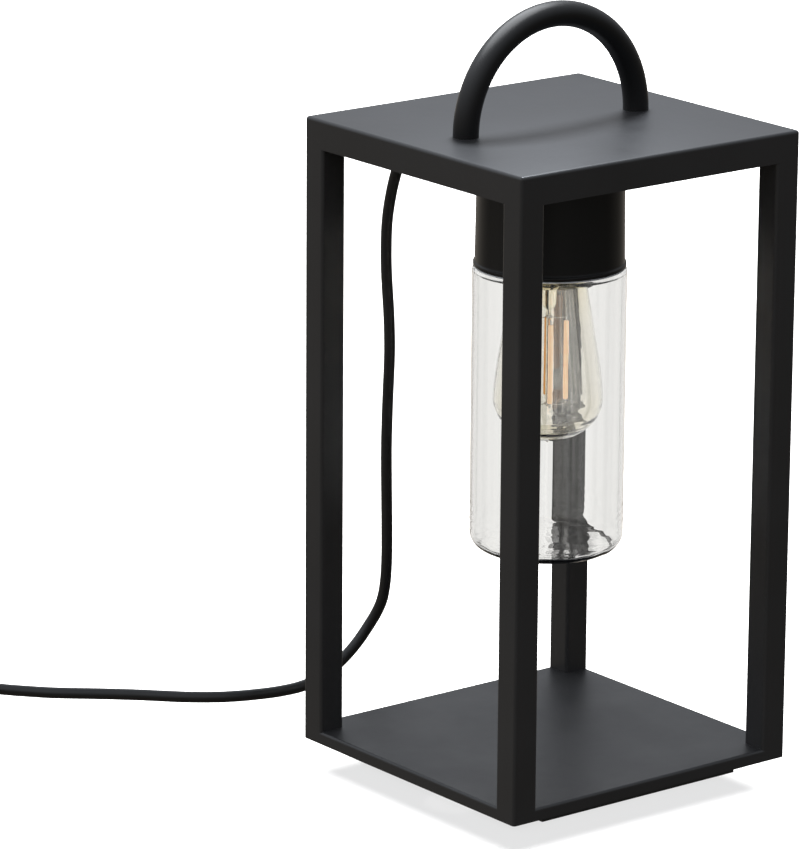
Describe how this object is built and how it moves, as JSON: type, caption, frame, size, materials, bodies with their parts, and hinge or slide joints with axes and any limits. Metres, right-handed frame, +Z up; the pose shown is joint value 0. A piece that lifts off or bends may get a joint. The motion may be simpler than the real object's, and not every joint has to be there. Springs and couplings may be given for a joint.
{
  "type": "lantern table lamp",
  "caption": "Dark grey open-frame square lantern lamp with an arch handle, a hanging clear glass jar, a filament bulb and a black mains cord.",
  "frame": {"origin": "centre of the frame, on the surface that the two foot strips rest on", "axes": "+Z up along the bulb; X along the front-right side and in the plane of the arch handle; the mains cord leaves through the +Y side"},
  "size_m": [0.4278, 0.4371, 0.4514],
  "materials": {
    "slate_steel": "satin powder coat, slate grey",
    "black_steel": "satin powder coat, black",
    "zinc_steel": "zinc plated",
    "cap_aluminium": "bright",
    "brass": "plain",
    "clear_glass": "clear, smooth",
    "bulb_glass": "clear, faint warm tint",
    "filament": "amber phosphor coat",
    "black_plastic": "satin",
    "white_plastic": "plain",
    "ceramic": "glazed",
    "black_rubber": "matt",
    "clear_rubber": "translucent",
    "cord_black": "satin",
    "core_brown": "plain"
  },
  "bodies": {
    "frame": {"top_tray": "slate_steel", "tray_cover": "slate_steel", "cover_screws": "black_steel", "post_front": "slate_steel", "post_right": "slate_steel", "post_left": "slate_steel", "post_back": "slate_steel", "post_plugs": "zinc_steel", "post_screws": "zinc_steel", "base_tray": "slate_steel", "foot_strips": "black_rubber", "handle_tube": "slate_steel", "handle_plugs": "zinc_steel", "handle_washers": "zinc_steel", "handle_screws": "zinc_steel", "lamp_cup": "black_steel", "cup_screws": "zinc_steel", "holder_cap": "black_plastic", "holder_skirt": "black_plastic", "holder_insert": "ceramic", "holder_shell": "brass", "holder_contact": "brass", "holder_terminals": "brass", "holder_nipple": "zinc_steel", "nipple_nut": "zinc_steel", "terminal_block": "white_plastic", "terminal_barrels": "brass", "inner_leads": "core_brown", "inner_cord": "cord_black", "cord_cores": "core_brown", "cord_clamp": "white_plastic", "clamp_screws": "zinc_steel", "cord_bush": "black_rubber", "cord_lead": "cord_black", "cord_coil": "cord_black", "coil_tie": "black_plastic", "cord_tail": "cord_black", "plug_relief": "black_rubber", "plug_body": "black_plastic", "plug_pins": "zinc_steel"},
    "seal": {"seal_ring": "clear_rubber"},
    "jar": {"glass_jar": "clear_glass"},
    "bulb": {"bulb_cap": "cap_aluminium", "bulb_insulator": "black_plastic", "bulb_contact": "cap_aluminium", "bulb_envelope": "bulb_glass", "bulb_stem": "bulb_glass", "filaments": "filament", "filament_wires": "zinc_steel"}
  },
  "joints": [
    {"name": "jar_lower", "type": "slide", "parent": "frame", "child": "seal", "axis": [0, 0, -1], "range_m": [0, 0.109]},
    {"name": "jar_turn", "type": "hinge", "parent": "seal", "child": "jar", "pos_m": [0, 0, 0.3], "axis": [0, 0, 1], "range_deg": [-450, 0]},
    {"name": "bulb_turn", "type": "hinge", "parent": "frame", "child": "bulb", "pos_m": [0, 0, 0.32], "axis": [0, 0, 1], "range_deg": [-1260, 0]}
  ]
}
